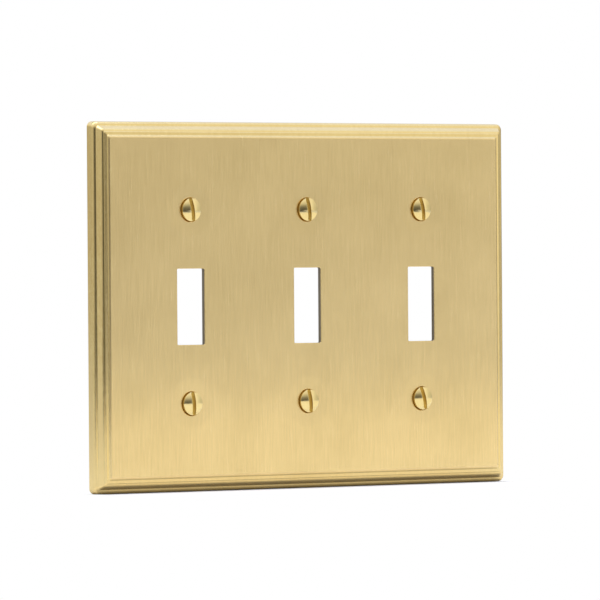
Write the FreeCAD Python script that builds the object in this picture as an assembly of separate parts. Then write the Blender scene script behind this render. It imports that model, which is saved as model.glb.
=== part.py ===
import FreeCAD, Part
import math
import os

# Wall plate for three toggle switches side by side, with its six fixing screws.
# The plate is one brass sheet, drawn over a die into a shallow tray: a rim, a moulded border
# that climbs from it in rounded steps, and a flat raised face. The border's four runs meet in
# sharp mitres. The back is hollow, and only the rim touches the wall.
# Each screw sits in a dimple pressed into the sheet, and its shank runs out through the back
# into the switch behind the wall.
# Millimetres. X runs across the plate, Z up and Y into the wall. The origin is the middle of
# the wall plane, on which the rim rests, so a height above the wall is a negative Y.

# Plate
plate_width = 164.2
plate_height = 115.2
sheet_thickness = 1.35
rim_height = 2.6
rim_lean = 0.1
rim_corner_radius = 1.8
rim_rounding = 1.0

# The border from the rim to the face: how far each stretch runs in, how far it rises, and the
# rounding of the bend at its upper end
ledge_run = 1.3
ledge_rise = 0.18
ledge_rounding = 0.35
bead_run = 1.05
bead_rise = 1.49
bead_rounding = 0.9
shelf_run = 0.67
shelf_rise = 0.15
shelf_rounding = 0.12
step_run = 0.22
step_rise = 0.14
step_rounding = 0.2
land_run = 0.88
land_rise = 0.06
land_rounding = 0.15
face_run = 0.46
face_rise = 0.43
face_rounding = 1.3

# Switch openings and screws, on the standard spacing of switches in one box
gang_count = 3
gang_spacing = 46.04
screw_spacing = 60.33
opening_width = 10.6
opening_height = 23.7
opening_corner_radius = 0.4
opening_edge_break = 0.15

# Screw, a number 6 machine screw with an oval head and a straight slot
screw_length = 15.9
thread_diameter = 3.505
neck_diameter = 2.9
neck_length = 1.5
point_chamfer = 0.5
head_diameter = 7.2
head_cone_angle = 82.0
head_band_height = 0.75
head_dome_height = 1.0
head_dome_bands = 3
head_stands_proud = 0.4
slot_width = 1.15
slot_depth = 1.3
upper_slot_leans = [9.5, 8.0, 10.0]
lower_slot_leans = [4.0, 7.0, 14.0]

# Dimple pressed into the sheet under each screw head
screw_hole_diameter = 4.2
dimple_lip_width = 0.3
dimple_wall = 1.1
dimple_land = 0.35

# The stretches of the border, from the wall up: run, rise and rounding of the bend at its end
stretches = [
    (rim_lean, rim_height, rim_rounding),
    (ledge_run, ledge_rise, ledge_rounding),
    (bead_run, bead_rise, bead_rounding),
    (shelf_run, shelf_rise, shelf_rounding),
    (step_run, step_rise, step_rounding),
    (land_run, land_rise, land_rounding),
    (face_run, face_rise, face_rounding),
]
plate_depth = sum(rise for run, rise, rounding in stretches)

# Heights above the wall at which the screw's head and its seat change shape
half_cone = math.radians(head_cone_angle / 2)
head_radius = head_diameter / 2
neck_radius = neck_diameter / 2
hole_radius = screw_hole_diameter / 2
band_top = plate_depth + head_stands_proud
band_bottom = band_top - head_band_height
cone_bottom = band_bottom - (head_radius - neck_radius) / math.tan(half_cone)
seat_foot = band_bottom - (head_radius - hole_radius) / math.tan(half_cone)
into_wall = FreeCAD.Vector(0, 1, 0)

# Two measures that differ by less than this are the same
closeness = 0.001


def border_bends():
    """The bends of the border from the wall to the face: inset, height above the wall, rounding."""
    bends = [(0.0, 0.0, 0.0)]
    inset = 0.0
    height = 0.0
    for run, rise, rounding in stretches:
        inset += run
        height += rise
        bends.append((inset, height, rounding))
    return bends


def rounded_outline(points, roundings):
    """A closed wire through these points, with a tangent arc at each that has a rounding."""
    starts = []
    edges = []
    for index, corner in enumerate(points):
        rounding = roundings[index]
        back = (points[index - 1] - corner).normalize()
        ahead = (points[(index + 1) % len(points)] - corner).normalize()
        if rounding == 0.0:
            starts.append((corner, corner))
            continue
        half = back.getAngle(ahead) / 2
        cut = rounding / math.tan(half)
        first = corner + back * cut
        last = corner + ahead * cut
        middle = corner + (back + ahead).normalize() * (rounding / math.sin(half) - rounding)
        edges.append(Part.Arc(first, middle, last).toShape())
        starts.append((first, last))
    for index, (first, last) in enumerate(starts):
        edges.append(Part.LineSegment(starts[index - 1][1], first).toShape())
    return Part.Wire(Part.sortEdges(edges)[0])


def moulded_bar(bends, width, length, along_x):
    """A bar whose section has the border on both sides of a flat face, along X or along Z."""
    half = width / 2
    corners = [(inset - half, height, rounding) for inset, height, rounding in bends]
    corners += [(half - inset, height, rounding) for inset, height, rounding in reversed(bends)]
    points = []
    for across, height, rounding in corners:
        if along_x:
            points.append(FreeCAD.Vector(-length / 2, -height, across))
        else:
            points.append(FreeCAD.Vector(across, -height, -length / 2))
    section = rounded_outline(points, [rounding for across, height, rounding in corners])
    way = FreeCAD.Vector(length, 0, 0) if along_x else FreeCAD.Vector(0, 0, length)
    return Part.Face(section).extrude(way)


def mitred_block(bends):
    """A block whose four sides have the border, made where a bar across meets a bar upright."""
    across = moulded_bar(bends, plate_height, plate_width, True)
    upright = moulded_bar(bends, plate_width, plate_height, False)
    return across.common(upright)


def upright_rectangle(width, height, radius, y):
    """A closed wire about the Y axis, with round corners."""
    points = []
    for side_x, side_z in ((1, 1), (-1, 1), (-1, -1), (1, -1)):
        points.append(FreeCAD.Vector(side_x * width / 2, y, side_z * height / 2))
    return rounded_outline(points, [radius] * 4)


def make_outside():
    """The moulded outside of the plate as a solid block, its four outer corners rounded."""
    outline = upright_rectangle(plate_width, plate_height, rim_corner_radius, -plate_depth)
    trim = Part.Face(outline).extrude(into_wall * plate_depth)
    return mitred_block(border_bends()).common(trim)


def make_hollow():
    """The space behind the sheet: the same bends, further in and lower by the sheet, unrounded."""
    bends = []
    for inset, height, rounding in border_bends():
        lowered = max(height - sheet_thickness, 0.0)
        bends.append((inset + sheet_thickness, lowered, 0.0))
    return mitred_block(bends)


def seat_radius(height):
    """The radius of the screw's seat at this height above the wall."""
    return head_radius - (band_bottom - height) * math.tan(half_cone)


def gang_places():
    """The place across the plate of each switch, from left to right."""
    return [(gang - (gang_count - 1) / 2) * gang_spacing for gang in range(gang_count)]


def screw_places():
    """The name, the place and the slot's lean of each screw, from left to right and top to bottom."""
    places = []
    for row, side_z, leans in (("upper", 1, upper_slot_leans), ("lower", -1, lower_slot_leans)):
        for gang, x in enumerate(gang_places()):
            name = "screw_" + row + "_" + str(gang + 1)
            lean = leans[gang % len(leans)]
            places.append((name, FreeCAD.Vector(x, 0, side_z * screw_spacing / 2), lean))
    return places


def make_dimple_boss():
    """The cone of sheet that the press pushes out at the back, about the Y axis."""
    boss_foot = seat_foot - dimple_land
    boss_top = plate_depth - sheet_thickness / 2
    spread = dimple_wall / math.cos(half_cone)
    top_radius = seat_radius(boss_top) + spread
    start = FreeCAD.Vector(0, -boss_top, 0)
    return Part.makeCone(top_radius, hole_radius + spread, boss_top - boss_foot, start, into_wall)


def make_screw_hole():
    """The seat and the hole of one screw, as a solid to cut from the plate, about the Y axis."""
    seat_top = FreeCAD.Vector(0, -plate_depth, 0)
    seat_height = plate_depth - seat_foot
    seat = Part.makeCone(seat_radius(plate_depth), hole_radius, seat_height, seat_top, into_wall)
    hole = Part.makeCylinder(hole_radius, seat_foot, FreeCAD.Vector(0, -seat_foot, 0), into_wall)
    return seat.fuse(hole)


def break_seat_lips(plate):
    """The plate with the upper edge of each screw's seat broken by a narrow chamfer."""
    lips = []
    for edge in plate.Edges:
        if not hasattr(edge.Curve, "Radius"):
            continue
        same_radius = abs(edge.Curve.Radius - seat_radius(plate_depth)) < closeness
        at_the_face = abs(edge.BoundBox.YMin + plate_depth) < closeness
        if same_radius and at_the_face:
            lips.append(edge)
    return plate.makeChamfer(dimple_lip_width, lips)


def make_opening():
    """The slot that a switch's lever comes through, its front edge broken, to cut from the plate."""
    broken = opening_edge_break
    top = -plate_depth
    outlines = []
    for grow, y in ((broken, top), (0.0, top + broken)):
        width = opening_width + 2 * grow
        outlines.append(upright_rectangle(width, opening_height + 2 * grow, opening_corner_radius, y))
    front = Part.makeLoft(outlines, True, True)
    straight = Part.Face(outlines[1]).extrude(into_wall * (plate_depth - broken))
    return front.fuse(straight)


def make_plate():
    plate = make_outside().cut(make_hollow())
    boss = make_dimple_boss()
    hole = make_screw_hole()
    places = [place for name, place, lean in screw_places()]
    for place in places:
        plate = plate.fuse(boss.translated(place))
    for place in places:
        plate = plate.cut(hole.translated(place))
    plate = break_seat_lips(plate)
    opening = make_opening()
    for x in gang_places():
        plate = plate.cut(opening.translated(FreeCAD.Vector(x, 0, 0)))
    return plate


def dome_corners():
    """The head's dome from its top to its edge, in a few straight bands: radius, height."""
    dome_radius = (head_radius ** 2 + head_dome_height ** 2) / (2 * head_dome_height)
    middle = band_top + head_dome_height - dome_radius
    whole_angle = math.asin(head_radius / dome_radius)
    corners = []
    for band in range(head_dome_bands + 1):
        angle = whole_angle * band / head_dome_bands
        corners.append((dome_radius * math.sin(angle), middle + dome_radius * math.cos(angle)))
    return corners


def make_screw():
    """One screw about the Y axis, turned from its profile, its slot upright."""
    thread_radius = thread_diameter / 2
    end = band_top - screw_length
    thread_top = cone_bottom - neck_length
    corners = dome_corners()
    corners += [
        (head_radius, band_bottom),
        (neck_radius, cone_bottom),
        (neck_radius, thread_top),
        (thread_radius, thread_top),
        (thread_radius, end + point_chamfer),
        (thread_radius - point_chamfer, end),
        (0.0, end),
    ]
    points = [FreeCAD.Vector(radius, -height, 0) for radius, height in corners]
    profile = Part.Face(Part.makePolygon(points + [points[0]]))
    screw = profile.revolve(FreeCAD.Vector(0, 0, 0), into_wall, 360)
    slot_corner = FreeCAD.Vector(-slot_width / 2, -band_top - head_dome_height, -head_diameter)
    slot = Part.makeBox(slot_width, slot_depth, 2 * head_diameter, slot_corner)
    return screw.cut(slot)


os.makedirs("parts", exist_ok=True)
make_plate().exportStep("parts/plate.step")
for name, place, lean in screw_places():
    screw = make_screw()
    screw.rotate(FreeCAD.Vector(0, 0, 0), into_wall, -lean)
    screw.translate(place)
    screw.exportStep("parts/" + name + ".step")
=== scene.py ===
import math

import bpy
from mathutils import Matrix, Vector


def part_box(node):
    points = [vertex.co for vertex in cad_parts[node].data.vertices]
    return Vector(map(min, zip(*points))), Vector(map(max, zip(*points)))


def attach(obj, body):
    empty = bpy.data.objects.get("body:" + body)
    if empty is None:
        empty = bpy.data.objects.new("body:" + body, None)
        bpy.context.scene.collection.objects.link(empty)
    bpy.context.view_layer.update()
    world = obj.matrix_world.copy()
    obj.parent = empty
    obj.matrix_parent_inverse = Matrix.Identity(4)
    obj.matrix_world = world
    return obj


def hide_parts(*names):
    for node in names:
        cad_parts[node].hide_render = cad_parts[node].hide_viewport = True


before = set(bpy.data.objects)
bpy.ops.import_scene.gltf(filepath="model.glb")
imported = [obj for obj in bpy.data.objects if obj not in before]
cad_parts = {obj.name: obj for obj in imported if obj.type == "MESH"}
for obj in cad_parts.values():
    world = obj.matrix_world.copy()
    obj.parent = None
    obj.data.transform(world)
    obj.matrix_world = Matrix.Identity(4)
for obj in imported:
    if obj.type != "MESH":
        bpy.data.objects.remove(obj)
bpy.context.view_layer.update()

# Wall plate: one sheet of brass, drawn over a die into a shallow tray whose edge climbs to the
# face in steps, with three openings pierced for levers and six dimples pressed for screws. The
# face is brushed from top to bottom and lacquered, and the stepped edge is polished smooth.
MM = 0.001
plate_low, plate_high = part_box("plate")
plate_width = plate_high.x - plate_low.x
plate_height = plate_high.z - plate_low.z
plate_depth = -plate_low.y
sheet = 1.35 * MM

# The outside of the sheet from the rim to the face: inset from the rim, height above the wall,
# rounding of that bend, and radius of the plate's corners there
outer_bends = [
    (0.00 * MM, 0.00 * MM, 0.00 * MM, 1.8 * MM),
    (0.10 * MM, 2.60 * MM, 1.00 * MM, 1.8 * MM),
    (1.40 * MM, 2.78 * MM, 0.35 * MM, 1.0 * MM),
    (2.45 * MM, 4.27 * MM, 0.90 * MM, 0.6 * MM),
    (3.12 * MM, 4.42 * MM, 0.12 * MM, 0.5 * MM),
    (3.34 * MM, 4.56 * MM, 0.20 * MM, 0.5 * MM),
    (4.22 * MM, 4.62 * MM, 0.15 * MM, 0.5 * MM),
    (4.68 * MM, plate_depth, 1.30 * MM, 0.5 * MM),
]
bend_steps = 5
corner_steps = 8
weld = 0.001 * MM


def round_bends(bends, steps):
    """The bends of a section, each one between its two ends drawn as an arc of points."""
    points = [bends[0]]
    for before, bend, after in zip(bends[:-2], bends[1:-1], bends[2:]):
        corner = Vector(bend[:2])
        back = (Vector(before[:2]) - corner).normalized()
        ahead = (Vector(after[:2]) - corner).normalized()
        half = back.angle(ahead) / 2
        middle = corner + (back + ahead).normalized() * bend[2] / math.sin(half)
        first = corner + back * bend[2] / math.tan(half) - middle
        last = corner + ahead * bend[2] / math.tan(half) - middle
        sweep = math.atan2(first.cross(last), first.dot(last))
        for step in range(steps + 1):
            point = middle + Matrix.Rotation(sweep * step / steps, 2) @ first
            points.append((point.x, point.y) + bend[2:])
    points.append(bends[-1])
    return points


def close_solid(fill_ends=False):
    """Welds the mesh that is in edit mode, turns its faces outwards and leaves edit mode."""
    bpy.ops.mesh.select_all(action='SELECT')
    bpy.ops.mesh.remove_doubles(threshold=weld)
    if fill_ends:
        bpy.ops.mesh.fill_holes(sides=0)
        bpy.ops.mesh.select_all(action='SELECT')
    bpy.ops.mesh.normals_make_consistent(inside=False)
    bpy.ops.object.mode_set(mode='OBJECT')


def draw_rectangle(width, height, corner, middle):
    """Adds a rectangle with round corners, upright and facing the room, in edit mode."""
    bpy.ops.mesh.primitive_plane_add(size=1, location=middle, rotation=(math.radians(90), 0, 0))
    bpy.ops.transform.resize(value=(width, 1, height), center_override=middle)
    bpy.ops.mesh.bevel(offset=corner, segments=corner_steps, affect='VERTICES')


def stack_rectangles(name, outlines, middle_x):
    """A closed solid through a row of upright rectangles: width, height, corner radius and Y."""
    bpy.ops.object.select_all(action='DESELECT')
    bpy.ops.mesh.primitive_plane_add(size=1)
    solid = bpy.context.object
    solid.name = name
    bpy.ops.object.mode_set(mode='EDIT')
    bpy.ops.mesh.delete(type='VERT')
    for near, far in zip(outlines[:-1], outlines[1:]):
        for width, height, corner, y in (near, far):
            draw_rectangle(width, height, corner, (middle_x, y, 0))
            bpy.ops.mesh.delete(type='ONLY_FACE')
        bpy.ops.mesh.select_all(action='SELECT')
        bpy.ops.mesh.bridge_edge_loops()
        bpy.ops.mesh.hide(unselected=False)
    for width, height, corner, y in (outlines[0], outlines[-1]):
        draw_rectangle(width, height, corner, (middle_x, y, 0))
    bpy.ops.mesh.reveal(select=True)
    close_solid()
    return solid


def trace_line(name, start, moves):
    """A line of edges from a point by a row of moves, as a new piece that stays in edit mode."""
    bpy.ops.object.select_all(action='DESELECT')
    bpy.ops.mesh.primitive_plane_add(size=MM, location=start)
    line = bpy.context.object
    line.name = name
    bpy.ops.object.transform_apply(location=True, rotation=True, scale=True)
    bpy.ops.object.mode_set(mode='EDIT')
    bpy.ops.mesh.select_all(action='SELECT')
    bpy.ops.mesh.merge(type='CENTER')
    for move in moves:
        bpy.ops.mesh.extrude_region_move(TRANSFORM_OT_translate={"value": move})
    return line


def spin_profile(name, profile, place, steps):
    """A closed solid turned about the Y axis through a place, from points of radius and height."""
    start = (place[0] + profile[0][0], -profile[0][1], place[1])
    moves = [(there[0] - here[0], here[1] - there[1], 0)
             for here, there in zip(profile[:-1], profile[1:])]
    solid = trace_line(name, start, moves)
    bpy.ops.mesh.select_all(action='SELECT')
    axis_foot = (place[0], 0, place[1])
    bpy.ops.mesh.spin(steps=steps, angle=math.tau, center=axis_foot, axis=(0, 1, 0))
    close_solid()
    return solid


def select_only(piece):
    """Selects one piece and nothing else."""
    bpy.ops.object.select_all(action='DESELECT')
    bpy.context.view_layer.objects.active = piece
    piece.select_set(True)


def apply_boolean(piece, tool, operation):
    """Joins a tool to a piece, cuts it away or keeps what both share, and removes the tool."""
    select_only(piece)
    bpy.ops.object.modifier_add(type='BOOLEAN')
    modifier = piece.modifiers[-1]
    modifier.object = tool
    modifier.operation = operation
    modifier.solver = 'EXACT'
    bpy.ops.object.modifier_apply(modifier=modifier.name)
    bpy.data.objects.remove(tool)


def join_pieces(pieces):
    """Several meshes as one."""
    select_only(pieces[0])
    for piece in pieces[1:]:
        piece.select_set(True)
    bpy.ops.object.join()
    return pieces[0]


def smooth_faces(piece, sharp_from):
    """Shades a piece smooth but for edges sharper than this angle, with flat faces kept flat."""
    select_only(piece)
    bpy.ops.object.shade_smooth_by_angle(angle=math.radians(sharp_from))
    bpy.ops.object.modifier_add(type='WEIGHTED_NORMAL')
    modifier = piece.modifiers[-1]
    modifier.keep_sharp = True
    modifier.weight = 100
    bpy.ops.object.modifier_apply(modifier=modifier.name)


# The hollow behind the sheet: each bend again, further in and lower by the sheet
inner_round = 0.3 * MM
past_wall = 1 * MM
hollow_bends = [(sheet, -past_wall, 0.0, outer_bends[0][3])]
for inset, height, _, corner in outer_bends[1:]:
    hollow_bends.append((inset + sheet, height - sheet, inner_round, corner))
face_inset = plate_height / 4


def section_outlines(bends, face_height):
    """The outlines of the plate at each point of a section that ends on a flat face."""
    points = round_bends(bends + [(face_inset, face_height)], bend_steps)
    outlines = []
    for inset, height, _, corner in points[:-1]:
        outlines.append((plate_width - 2 * inset, plate_height - 2 * inset, corner, -height))
    return outlines


plate = stack_rectangles("wall_plate", section_outlines(outer_bends, plate_depth), 0)
hollow = stack_rectangles("hollow", section_outlines(hollow_bends, plate_depth - sheet), 0)
apply_boolean(plate, hollow, 'DIFFERENCE')

# Where the switches are: three in a row, with a screw above and below each
gang_count = 3
gang_spacing = (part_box("screw_upper_3")[0].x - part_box("screw_upper_1")[0].x) / (gang_count - 1)
gang_places = [(gang - (gang_count - 1) / 2) * gang_spacing for gang in range(gang_count)]
screw_spacing = 60.33 * MM

# Dimples: the press pushes a cone of the sheet out at the back and leaves a soft lip in front,
# in a wide dish so shallow that only its gloss shows
head_radius = 3.58 * MM
half_cone = math.radians(41)
seat_top = plate_depth - 0.35 * MM
hole_radius = 2.1 * MM
lip_round = 0.3 * MM
dish_round = 60 * MM
dish_radius = 8.0 * MM
dish_depth = 0.03 * MM
lip_steps = 8
dimple_wall = 1.1 * MM
dimple_land = 0.35 * MM
boss_foot_round = 0.25 * MM
boss_root_round = 0.6 * MM
boss_steps = 5
past_bend = 2 * MM
dimple_steps = 96
above_face = 1 * MM
hair = 0.002 * MM


def seat_radius(height):
    """The radius of a screw's seat at a height above the wall."""
    return head_radius - (seat_top - height) * math.tan(half_cone)


seat_foot = seat_top - (head_radius - hole_radius) / math.tan(half_cone)
lip_bends = [
    (dish_radius + past_bend, plate_depth - hair, 0.0),
    (dish_radius, plate_depth - hair, dish_round),
    (seat_radius(plate_depth - dish_depth), plate_depth - dish_depth, lip_round),
    (hole_radius, seat_foot, 0.0),
]
lip_points = [point[:2] for point in round_bends(lip_bends, lip_steps)[1:]]
cutter_profile = [(0.0, plate_depth + above_face), (lip_points[0][0], plate_depth + above_face)]
cutter_profile += lip_points
cutter_profile += [(hole_radius, -past_wall), (0.0, -past_wall)]

spread = dimple_wall / math.cos(half_cone)
boss_foot = seat_foot - dimple_land
boss_top = plate_depth - sheet / 2
boss_root = seat_radius(plate_depth - sheet) + spread
boss_bends = [
    (0.0, boss_foot, 0.0),
    (hole_radius + spread, boss_foot, boss_foot_round),
    (boss_root, plate_depth - sheet, boss_root_round),
    (boss_root + past_bend, plate_depth - sheet, 0.0),
]
boss_profile = [point[:2] for point in round_bends(boss_bends, boss_steps)[:-1]]
boss_profile += [(boss_profile[-1][0], boss_top), (0.0, boss_top)]

bosses = []
cutters = []
for middle_x in gang_places:
    for middle_z in (screw_spacing / 2, -screw_spacing / 2):
        screw_place = (middle_x, middle_z)
        bosses.append(spin_profile("boss", boss_profile, screw_place, dimple_steps))
        cutters.append(spin_profile("cutter", cutter_profile, screw_place, dimple_steps))

# Openings: pierced from the front, so the front edge of each is drawn over a little
opening_width = 10.6 * MM
opening_height = 23.7 * MM
opening_corner = 0.4 * MM
roll_over = 0.15 * MM
roll_steps = 4
opening_section = [(roll_over, -plate_depth - above_face)]
for step in range(roll_steps + 1):
    rolled = math.radians(90) * step / roll_steps
    grow = roll_over * (1 - math.sin(rolled))
    opening_section.append((grow, -plate_depth + roll_over * (1 - math.cos(rolled))))
opening_section.append((0.0, past_wall))
opening_outlines = [(opening_width + 2 * grow, opening_height + 2 * grow, opening_corner + grow, y)
                    for grow, y in opening_section]
for middle_x in gang_places:
    cutters.append(stack_rectangles("cutter", opening_outlines, middle_x))
apply_boolean(plate, join_pieces(bosses), 'UNION')
apply_boolean(plate, join_pieces(cutters), 'DIFFERENCE')
smooth_faces(plate, sharp_from=35)


def start_group(name, inputs, output):
    """A new node group with named inputs and one number out, and the nodes at its two ends."""
    group = bpy.data.node_groups.new(name, 'ShaderNodeTree')
    for socket, kind in inputs:
        group.interface.new_socket(socket, in_out='INPUT', socket_type=kind)
    group.interface.new_socket(output, in_out='OUTPUT', socket_type='NodeSocketFloat')
    return group, group.nodes.new('NodeGroupInput'), group.nodes.new('NodeGroupOutput')


# Brushing: long streaks with finer ones over them, along Z. Across and Along say how many there
# are to the metre across the strokes and along them.
finer_streaks = (4.3, 4.3, 2.7)
finer_share = 0.45
brushing, group_in, group_out = start_group(
    "brushing",
    [("Place", 'NodeSocketVector'), ("Across", 'NodeSocketFloat'), ("Along", 'NodeSocketFloat')],
    "Streak")
nodes = brushing.nodes
links = brushing.links
stretch = nodes.new('ShaderNodeCombineXYZ')
links.new(group_in.outputs["Across"], stretch.inputs["X"])
links.new(group_in.outputs["Across"], stretch.inputs["Y"])
links.new(group_in.outputs["Along"], stretch.inputs["Z"])
coarse_place = nodes.new('ShaderNodeVectorMath')
coarse_place.operation = 'MULTIPLY'
links.new(group_in.outputs["Place"], coarse_place.inputs[0])
links.new(stretch.outputs["Vector"], coarse_place.inputs[1])
fine_place = nodes.new('ShaderNodeVectorMath')
fine_place.operation = 'MULTIPLY'
fine_place.inputs[1].default_value = finer_streaks
links.new(coarse_place.outputs["Vector"], fine_place.inputs[0])
coarse = nodes.new('ShaderNodeTexNoise')
coarse.inputs["Scale"].default_value = 1.0
coarse.inputs["Detail"].default_value = 3.0
coarse.inputs["Roughness"].default_value = 0.6
links.new(coarse_place.outputs["Vector"], coarse.inputs["Vector"])
fine = nodes.new('ShaderNodeTexNoise')
fine.inputs["Scale"].default_value = 1.0
fine.inputs["Detail"].default_value = 2.0
links.new(fine_place.outputs["Vector"], fine.inputs["Vector"])
both = nodes.new('ShaderNodeMix')
both.inputs["Factor"].default_value = finer_share
links.new(coarse.outputs["Fac"], both.inputs["A"])
links.new(fine.outputs["Fac"], both.inputs["B"])
links.new(both.outputs["Result"], group_out.inputs["Streak"])

# Clouding: the slow change of tone over a handled surface. Size says how many clouds there are
# to the metre.
clouding, group_in, group_out = start_group(
    "clouding", [("Place", 'NodeSocketVector'), ("Size", 'NodeSocketFloat')], "Cloud")
cloud = clouding.nodes.new('ShaderNodeTexNoise')
cloud.inputs["Detail"].default_value = 4.0
cloud.inputs["Roughness"].default_value = 0.55
clouding.links.new(group_in.outputs["Place"], cloud.inputs["Vector"])
clouding.links.new(group_in.outputs["Size"], cloud.inputs["Scale"])
clouding.links.new(cloud.outputs["Fac"], group_out.inputs["Cloud"])

# How a finish takes up the two: the clouds to the metre and their share of its tone, and the
# bands of the noise that the tone and the gloss spread over
cloud_count = 45.0
cloud_share = 0.35
tone_band = (0.35, 0.65)
gloss_band = (0.3, 0.7)
lacquer_roughness = 0.1


def finish_metal(name, dark, light, across, along, roughness, uneven, bump, directional=0.0,
                 lacquer=0.0):
    """A metal whose colour, gloss and surface follow its brushing and its clouding."""
    finish = bpy.data.materials.new(name)
    finish.use_nodes = True
    nodes = finish.node_tree.nodes
    links = finish.node_tree.links
    metal = nodes["Principled BSDF"]
    metal.inputs["Metallic"].default_value = 1.0
    metal.inputs["Anisotropic"].default_value = directional
    metal.inputs["Coat Weight"].default_value = lacquer
    metal.inputs["Coat Roughness"].default_value = lacquer_roughness
    place = nodes.new('ShaderNodeTexCoord')
    streaks = nodes.new('ShaderNodeGroup')
    streaks.node_tree = brushing
    streaks.inputs["Across"].default_value = across
    streaks.inputs["Along"].default_value = along
    links.new(place.outputs["Object"], streaks.inputs["Place"])
    clouds = nodes.new('ShaderNodeGroup')
    clouds.node_tree = clouding
    clouds.inputs["Size"].default_value = cloud_count
    links.new(place.outputs["Object"], clouds.inputs["Place"])
    blend = nodes.new('ShaderNodeMix')
    blend.inputs["Factor"].default_value = cloud_share
    links.new(streaks.outputs["Streak"], blend.inputs["A"])
    links.new(clouds.outputs["Cloud"], blend.inputs["B"])
    tone = nodes.new('ShaderNodeMapRange')
    tone.inputs["From Min"].default_value = tone_band[0]
    tone.inputs["From Max"].default_value = tone_band[1]
    links.new(blend.outputs["Result"], tone.inputs["Value"])
    colour = nodes.new('ShaderNodeMix')
    colour.data_type = 'RGBA'
    colour.inputs["A"].default_value = dark + (1.0,)
    colour.inputs["B"].default_value = light + (1.0,)
    links.new(tone.outputs["Result"], colour.inputs["Factor"])
    links.new(colour.outputs["Result"], metal.inputs["Base Color"])
    gloss = nodes.new('ShaderNodeMapRange')
    gloss.inputs["From Min"].default_value = gloss_band[0]
    gloss.inputs["From Max"].default_value = gloss_band[1]
    gloss.inputs["To Min"].default_value = roughness - uneven
    gloss.inputs["To Max"].default_value = roughness + uneven
    links.new(streaks.outputs["Streak"], gloss.inputs["Value"])
    links.new(gloss.outputs["Result"], metal.inputs["Roughness"])
    relief = nodes.new('ShaderNodeBump')
    relief.inputs["Distance"].default_value = bump
    relief.inputs["Strength"].default_value = 1.0
    links.new(streaks.outputs["Streak"], relief.inputs["Height"])
    links.new(relief.outputs["Normal"], metal.inputs["Normal"])
    return finish


# The finishes of the plate: the stepped edge, the face, the back as it left the mill, the sheared
# walls of the openings painted nearly black as shade, and the cones that the press left under the
# screws, rougher and painted browner in part as the shade between head and dimple
edge_finish = finish_metal(
    "smooth_brass", dark=(0.755, 0.555, 0.22), light=(0.835, 0.64, 0.272),
    across=900, along=300, roughness=0.13, uneven=0.03, bump=0.0005 * MM)
face_finish = finish_metal(
    "brushed_brass", dark=(0.73, 0.542, 0.223), light=(0.915, 0.687, 0.306),
    across=2000, along=80, roughness=0.25, uneven=0.03, bump=0.001 * MM,
    directional=0.8, lacquer=0.5)
back_finish = finish_metal(
    "mill_brass", dark=(0.52, 0.38, 0.17), light=(0.66, 0.50, 0.24),
    across=500, along=90, roughness=0.42, uneven=0.08, bump=0.004 * MM)
# Painted shade: the walls of the openings are coloured nearly black
cut_painted_shade_finish = finish_metal(
    "sheared_brass_painted_shade", dark=(0.13, 0.105, 0.07), light=(0.26, 0.22, 0.15),
    across=5000, along=900, roughness=0.5, uneven=0.1, bump=0.01 * MM)
# Partly painted shade: the pressed cones under the screws are rougher and coloured browner than the
# face
seat_and_painted_shade_finish = finish_metal(
    "pressed_brass_and_painted_shade", dark=(0.66, 0.46, 0.16), light=(0.74, 0.53, 0.20),
    across=900, along=900, roughness=0.35, uneven=0.05, bump=0.001 * MM)
plate_finishes = [edge_finish, face_finish, back_finish, cut_painted_shade_finish, seat_and_painted_shade_finish]
for finish in plate_finishes:
    plate.data.materials.append(finish)

# Which finish a face of the plate gets, by its place and by the Y of its normal, which is -1
# where it looks straight into the room and 1 where it looks at the wall
slack = 0.003 * MM
face_band = 0.1 * MM
flat_towards_room = -0.9
lip_towards_room = -0.93
towards_wall = 0.1
sideways = 0.3
for polygon in plate.data.polygons:
    middle = polygon.center
    facing = polygon.normal.y
    from_rim = min(plate_width / 2 - abs(middle.x), plate_height / 2 - abs(middle.z))
    from_column = min(abs(middle.x - x) for x in gang_places)
    from_screw = math.hypot(from_column, abs(middle.z) - screw_spacing / 2)
    in_opening = (from_column < opening_width / 2 + slack
                  and abs(middle.z) < opening_height / 2 + slack)
    finish = edge_finish
    if facing < flat_towards_room and middle.y < -plate_depth + face_band:
        finish = face_finish
    if facing > towards_wall and from_rim > sheet / 2:
        finish = back_finish
    if in_opening and abs(facing) < sideways:
        finish = cut_painted_shade_finish
    if from_screw < seat_radius(plate_depth) + lip_round and lip_towards_room < facing < 0:
        finish = seat_and_painted_shade_finish
    polygon.material_index = plate_finishes.index(finish)

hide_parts("plate")
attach(plate, "root")

# Screws: number 6 machine screws of polished brass, turned from bar with an oval head and a
# straight slot, their thread rolled up to a short plain neck. Each holds the plate to a switch.
band_top = plate_depth + 0.75 * MM
dome_height = 0.59 * MM
neck_radius = 1.45 * MM
cone_bottom = seat_top - (head_radius - neck_radius) / math.tan(half_cone)
neck_length = 1.5 * MM
thread_top = cone_bottom - neck_length
thread_radius = 3.505 * MM / 2
thread_pitch = 25.4 * MM / 32
root_radius = thread_radius - 0.61 * thread_pitch
point_chamfer = 0.5 * MM
screw_end = -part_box("screw_upper_1")[1].y
dome_radius = (head_radius ** 2 + dome_height ** 2) / (2 * dome_height)
dome_angle = math.asin(head_radius / dome_radius)
dome_steps = 14
screw_steps = 96
turned_profile = []
for step in range(dome_steps + 1):
    from_top = dome_angle * step / dome_steps
    height = band_top + dome_height - dome_radius * (1 - math.cos(from_top))
    turned_profile.append((dome_radius * math.sin(from_top), height))

# The turned blank ends in a stub that is buried in the thread
stub_radius = root_radius - 0.1 * MM
stub_end = thread_top - 0.5 * MM
turned_profile += [(head_radius, seat_top), (neck_radius, cone_bottom), (neck_radius, thread_top),
                   (stub_radius, thread_top), (stub_radius, stub_end), (0.0, stub_end)]
screw = spin_profile("screw", turned_profile, (0.0, 0.0), screw_steps)

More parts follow.
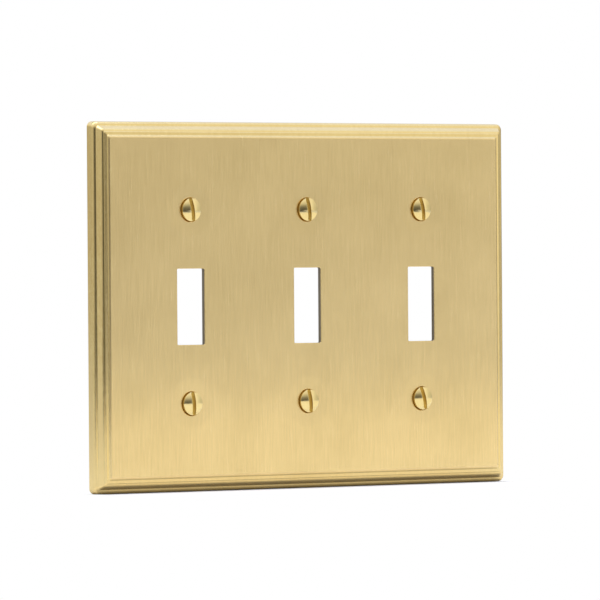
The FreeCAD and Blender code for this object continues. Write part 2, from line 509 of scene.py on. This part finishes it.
slot_width = 1.35 * MM
slot_depth = 1.3 * MM
slot_middle = (0, -(band_top + dome_height), 0)
slot_size = (slot_width, 2 * slot_depth, 3 * head_radius)
bpy.ops.object.select_all(action='DESELECT')
bpy.ops.mesh.primitive_cube_add(size=1, location=slot_middle, scale=slot_size)
slot = bpy.context.object
bpy.ops.object.transform_apply(location=True, rotation=True, scale=True)
apply_boolean(screw, slot, 'DIFFERENCE')
bpy.ops.object.modifier_add(type='BEVEL')
rounded_edge = screw.modifiers[-1]
rounded_edge.width = 0.2 * MM
rounded_edge.segments = 4
rounded_edge.limit_method = 'ANGLE'
rounded_edge.angle_limit = math.radians(40)
rounded_edge.use_clamp_overlap = True
bpy.ops.object.modifier_apply(modifier=rounded_edge.name)

# The thread is one ridge swept along a helix, from radius and share of the pitch, and trimmed to
# a plain rod with a chamfer at each end
ridge = [(root_radius, 0.0), (root_radius, 0.25), (thread_radius, 0.55), (thread_radius, 0.7),
         (root_radius, 1.0)]
spare_turns = 2
thread_steps = 32
thread_start = thread_top + spare_turns * thread_pitch
thread_turns = math.ceil((thread_start - screw_end) / thread_pitch) + spare_turns
ridge_moves = [(there[0] - here[0], (there[1] - here[1]) * thread_pitch, 0)
               for here, there in zip(ridge[:-1], ridge[1:])]
thread = trace_line("thread", (root_radius, -thread_start, 0), ridge_moves)
bpy.ops.object.mode_set(mode='OBJECT')
bpy.ops.object.modifier_add(type='SCREW')
helix = thread.modifiers[-1]
helix.axis = 'Y'
helix.screw_offset = thread_pitch
helix.iterations = thread_turns
helix.steps = thread_steps
helix.render_steps = thread_steps
bpy.ops.object.modifier_apply(modifier=helix.name)
bpy.ops.object.mode_set(mode='EDIT')
close_solid(fill_ends=True)

rod_radius = thread_radius + 0.05 * MM
rod_top = thread_top - 0.1 * MM
rod_steps = 48
rod_profile = [(0.0, rod_top), (neck_radius, rod_top),
               (rod_radius, rod_top - (rod_radius - neck_radius)),
               (rod_radius, screw_end + point_chamfer),
               (rod_radius - point_chamfer, screw_end), (0.0, screw_end)]
apply_boolean(thread, spin_profile("rod", rod_profile, (0.0, 0.0), rod_steps), 'INTERSECT')
apply_boolean(screw, thread, 'UNION')
smooth_faces(screw, sharp_from=38)

# The finishes of a screw: polished all over but for the side of its head, which is turned rougher
# and painted darker in part as the shade of the gap under the head
screw_finish = finish_metal(
    "polished_brass", dark=(0.80, 0.62, 0.26), light=(0.86, 0.69, 0.32),
    across=700, along=700, roughness=0.12, uneven=0.02, bump=0.0002 * MM)
side_and_painted_shade_finish = finish_metal(
    "turned_brass_and_painted_shade", dark=(0.53, 0.39, 0.14), light=(0.61, 0.46, 0.17),
    across=3000, along=900, roughness=0.30, uneven=0.05, bump=0.001 * MM)
screw_finishes = [screw_finish, side_and_painted_shade_finish]
for finish in screw_finishes:
    screw.data.materials.append(finish)
head_sideways = 0.2
for polygon in screw.data.polygons:
    in_head = -polygon.center.y > seat_top - slack
    if in_head and abs(polygon.normal.y) < head_sideways:
        polygon.material_index = screw_finishes.index(side_and_painted_shade_finish)

# How far each slot leans from upright, in degrees, as the screws were left when they were tight
slot_leans = {"screw_upper_1": 9.5, "screw_upper_2": 8.0, "screw_upper_3": 10.0,
              "screw_lower_1": 4.0, "screw_lower_2": 7.0, "screw_lower_3": 14.0}
for node, lean in slot_leans.items():
    low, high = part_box(node)
    select_only(screw)
    bpy.ops.object.duplicate()
    oval_screw = bpy.context.object
    oval_screw.name = "oval_" + node
    oval_screw.rotation_euler = (0, math.radians(-lean), 0)
    oval_screw.location = ((low.x + high.x) / 2, 0, (low.z + high.z) / 2)
    bpy.ops.object.transform_apply(location=True, rotation=True, scale=True)
    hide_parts(node)
    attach(oval_screw, "root")
bpy.data.objects.remove(screw)

# Ground: a white sheet of paper that the plate stands on, plain white to the camera but for the
# shadow close to the plate. Its colour is darkened under and just in front of the plate as a
# painted shadow, and far in front as painted shade that only the metal's reflections see.
floor_z = plate_low.z
ground_size = 4.0


def lay_card(name, middle, size, tilt):
    """A flat card with its own mesh in place, turned about the X axis from lying level."""
    bpy.ops.object.select_all(action='DESELECT')
    bpy.ops.mesh.primitive_plane_add(size=1, location=middle, rotation=(math.radians(tilt), 0, 0))
    card = bpy.context.object
    card.name = name
    card.scale = (size[0], size[1], 1)
    bpy.ops.object.transform_apply(location=True, rotation=True, scale=True)
    return card


def ramp(tree, source, span, levels=(0.0, 1.0)):
    """A smooth change from one level to another while a measure crosses a span."""
    node = tree.nodes.new('ShaderNodeMapRange')
    node.interpolation_type = 'SMOOTHSTEP'
    node.inputs["From Min"].default_value = span[0]
    node.inputs["From Max"].default_value = span[1]
    node.inputs["To Min"].default_value = levels[0]
    node.inputs["To Max"].default_value = levels[1]
    tree.links.new(source, node.inputs["Value"])
    return node.outputs["Result"]


def combine(tree, operation, first, second=None):
    """One measure changed, or two put together, by a plain operation."""
    node = tree.nodes.new('ShaderNodeMath')
    node.operation = operation
    tree.links.new(first, node.inputs[0])
    if second:
        tree.links.new(second, node.inputs[1])
    return node.outputs["Value"]


def add_glow(tree, level):
    """White light that a surface gives off evenly at a plain level."""
    glow = tree.nodes.new('ShaderNodeEmission')
    glow.inputs["Color"].default_value = (1.0, 1.0, 1.0, 1.0)
    glow.inputs["Strength"].default_value = level
    return glow.outputs["Emission"]


# Spans of the ground in metres, X from the plate's middle and Y from the wall plane
past_the_ends = (0.078, 0.083)
before_the_plate = (-0.04, -0.015)
behind_the_plate = (0.0, 0.004)
painted_shadow_span = (-0.012, -0.002)
far_in_front = (-0.75, -0.6)
far_to_the_right = (0.34, 0.42)
# Levels of the paper's colour: plain, at the plate's foot as painted shadow, and far in front as
# painted shade
paper_level = 0.9
painted_shadow_level = 0.45
far_level = 0.1

floor = lay_card("ground", (0.0, 0.0, floor_z), (ground_size, ground_size), 0.0)
paper = bpy.data.materials.new("white_ground")
paper.use_nodes = True
ground = paper.node_tree
matt = ground.nodes["Principled BSDF"]
matt.inputs["Roughness"].default_value = 0.9
matt.inputs["Specular IOR Level"].default_value = 0.0
ground_place = ground.nodes.new('ShaderNodeTexCoord')
ground_axes = ground.nodes.new('ShaderNodeSeparateXYZ')
ground.links.new(ground_place.outputs["Object"], ground_axes.inputs["Vector"])
ground_x = ground_axes.outputs["X"]
ground_y = ground_axes.outputs["Y"]
aside = ramp(ground, combine(ground, 'ABSOLUTE', ground_x), past_the_ends)
away = combine(ground, 'MAXIMUM', ramp(ground, ground_y, before_the_plate, (1.0, 0.0)),
               ramp(ground, ground_y, behind_the_plate))
off_the_plate = combine(ground, 'MAXIMUM', aside, away)
# Painted shadow: the paper's colour darkens towards the plate's foot
painted_contact_shadow = ramp(ground, ground_y, painted_shadow_span, (paper_level, painted_shadow_level))
# Painted shade far in front, seen only in the metal's reflections, lifted again far to the right
far_shade = combine(ground, 'MAXIMUM', ramp(ground, ground_y, far_in_front, (far_level, 1.0)),
                    ramp(ground, ground_x, far_to_the_right))
paper_with_painted_shadow = combine(ground, 'MAXIMUM', painted_contact_shadow, ramp(ground, aside, (0.0, 1.0), (0.0, paper_level)))
ground.links.new(combine(ground, 'MULTIPLY', paper_with_painted_shadow, far_shade), matt.inputs["Base Color"])
ground_rays = ground.nodes.new('ShaderNodeLightPath')
share = combine(ground, 'MULTIPLY', ground_rays.outputs["Is Camera Ray"], off_the_plate)
mixed = ground.nodes.new('ShaderNodeMixShader')
ground.links.new(share, mixed.inputs["Fac"])
ground.links.new(matt.outputs["BSDF"], mixed.inputs[1])
ground.links.new(add_glow(ground, 1.0), mixed.inputs[2])
ground.links.new(mixed.outputs["Shader"], ground.nodes["Material Output"].inputs["Surface"])
floor.data.materials.append(paper)

# Lights: a white reflector card in front of the plate, which lifts a little towards its far edge
# and shows only in the metal, and a soft light that hangs above and in front of the plate
card_lift = math.radians(2.3)
card_near = 0.05
card_far = 0.42
card_width = 0.7
card_middle_x = 0.3
card_level = 1.12
card_reach = (card_near + card_far) / 2
card_place = (card_middle_x, -card_reach, floor_z + card_reach * math.tan(card_lift))
reflector = lay_card("reflector", card_place, (card_width, card_far - card_near),
                     -math.degrees(card_lift))
white_card = bpy.data.materials.new("white_card")
white_card.use_nodes = True
card_surface = white_card.node_tree.nodes["Material Output"].inputs["Surface"]
white_card.node_tree.links.new(add_glow(white_card.node_tree, card_level), card_surface)
reflector.data.materials.append(white_card)
reflector.visible_camera = False
reflector.visible_diffuse = False
reflector.visible_shadow = False

softbox_data = bpy.data.lights.new("softbox", 'AREA')
softbox_data.shape = 'RECTANGLE'
softbox_data.size = 1.0
softbox_data.size_y = 0.6
softbox_data.energy = 5.5
softbox = bpy.data.objects.new("softbox", softbox_data)
bpy.context.scene.collection.objects.link(softbox)
softbox.location = (0.0, -0.25, 0.9)

# Room: plain white to the camera. The metal sees its level round the horizon by the direction
# from the plate, 0 straight in front and 90 to the right, with one dark bay in front. Overhead
# it is brighter and a little cool, and at the very top it is dim again.
room_levels = [
    (-180, 0.50), (-138, 0.57), (-100, 0.55), (-62, 0.66), (-34, 0.60), (-14, 0.42),
    (2, 0.12), (10, 0.10), (26, 0.10), (30, 0.42), (38, 0.95), (48, 1.08),
    (58, 0.78), (84, 0.50), (100, 0.22), (135, 0.22), (180, 0.50),
]
bay_top_level = 0.85
overhead_level = 1.16
zenith_level = 0.2
cool_white = (0.90, 1.0, 1.35)

# Spans of height, as the Z of a direction: 0 is level and 1 straight up
bay_top_span = (0.05, 0.5)
overhead_span = (-0.05, 0.75)
zenith_span = (0.8, 0.9)
cool_span = (0.3, 0.75)


def turn_into(tree, share, level, plain_level):
    """A level that turns into a plain one as a share goes from 0 to 1."""
    node = tree.nodes.new('ShaderNodeMix')
    tree.links.new(share, node.inputs["Factor"])
    tree.links.new(level, node.inputs["A"])
    node.inputs["B"].default_value = plain_level
    return node.outputs["Result"]


world = bpy.data.worlds.new("studio")
bpy.context.scene.world = world
world.use_nodes = True
room = world.node_tree
room.nodes.clear()
towards = room.nodes.new('ShaderNodeTexCoord')
room_axes = room.nodes.new('ShaderNodeSeparateXYZ')
room.links.new(towards.outputs["Generated"], room_axes.inputs["Vector"])
room_z = room_axes.outputs["Z"]
forwards = room.nodes.new('ShaderNodeMath')
forwards.operation = 'MULTIPLY'
forwards.inputs[1].default_value = -1.0
room.links.new(room_axes.outputs["Y"], forwards.inputs[0])
direction_angle = combine(room, 'ARCTAN2', room_axes.outputs["X"], forwards.outputs["Value"])
round_share = room.nodes.new('ShaderNodeMapRange')
round_share.inputs["From Min"].default_value = -math.pi
round_share.inputs["From Max"].default_value = math.pi
room.links.new(direction_angle, round_share.inputs["Value"])
horizon = room.nodes.new('ShaderNodeValToRGB')
horizon.color_ramp.interpolation = 'LINEAR'
bands = horizon.color_ramp.elements
while len(bands) < len(room_levels):
    bands.new(0.5)
for band, (direction, level) in zip(bands, room_levels):
    band.position = (direction + 180) / 360
    band.color = (level, level, level, 1.0)
room.links.new(round_share.outputs["Result"], horizon.inputs["Fac"])
above_bay = ramp(room, room_z, bay_top_span, (0.0, bay_top_level))
walls = combine(room, 'MAXIMUM', horizon.outputs["Color"], above_bay)
overhead = turn_into(room, ramp(room, room_z, overhead_span), walls, overhead_level)
zenith = turn_into(room, ramp(room, room_z, zenith_span), overhead, zenith_level)
room_rays = room.nodes.new('ShaderNodeLightPath')
seen_plain = combine(room, 'MAXIMUM', room_rays.outputs["Is Camera Ray"],
                     room_rays.outputs["Is Transmission Ray"])
backdrop = room.nodes.new('ShaderNodeBackground')
room.links.new(turn_into(room, seen_plain, zenith, 1.0), backdrop.inputs["Strength"])
tint = room.nodes.new('ShaderNodeMix')
tint.data_type = 'RGBA'
tint.inputs["A"].default_value = (1.0, 1.0, 1.0, 1.0)
tint.inputs["B"].default_value = cool_white + (1.0,)
cooling = turn_into(room, seen_plain, ramp(room, room_z, cool_span), 0.0)
room.links.new(cooling, tint.inputs["Factor"])
room.links.new(tint.outputs["Result"], backdrop.inputs["Color"])
room_out = room.nodes.new('ShaderNodeOutputWorld')
room.links.new(backdrop.outputs["Background"], room_out.inputs["Surface"])

# Camera: in front of the plate and to its left, almost level with it, with a long lens that
# looks at its middle
camera_place = Vector((-1.35635, -1.73844, 0.0163))
look_azimuth = math.radians(37.98)
look_down = math.radians(0.381)
camera_roll = math.radians(0.407)
level_reach = math.cos(look_down)
look_ahead = Vector((math.sin(look_azimuth) * level_reach, math.cos(look_azimuth) * level_reach,
                     -math.sin(look_down)))
camera_data = bpy.data.cameras.new("camera")
camera = bpy.data.objects.new("camera", camera_data)
bpy.context.scene.collection.objects.link(camera)
camera.location = camera_place
rolled_view = Matrix.Rotation(-camera_roll, 3, 'Z')
camera.rotation_euler = (look_ahead.to_track_quat('-Z', 'Y').to_matrix() @ rolled_view).to_euler()
camera_data.sensor_width = 36.0
camera_data.lens = 419.0
bpy.context.scene.camera = camera

bpy.context.scene.view_settings.view_transform = 'Standard'
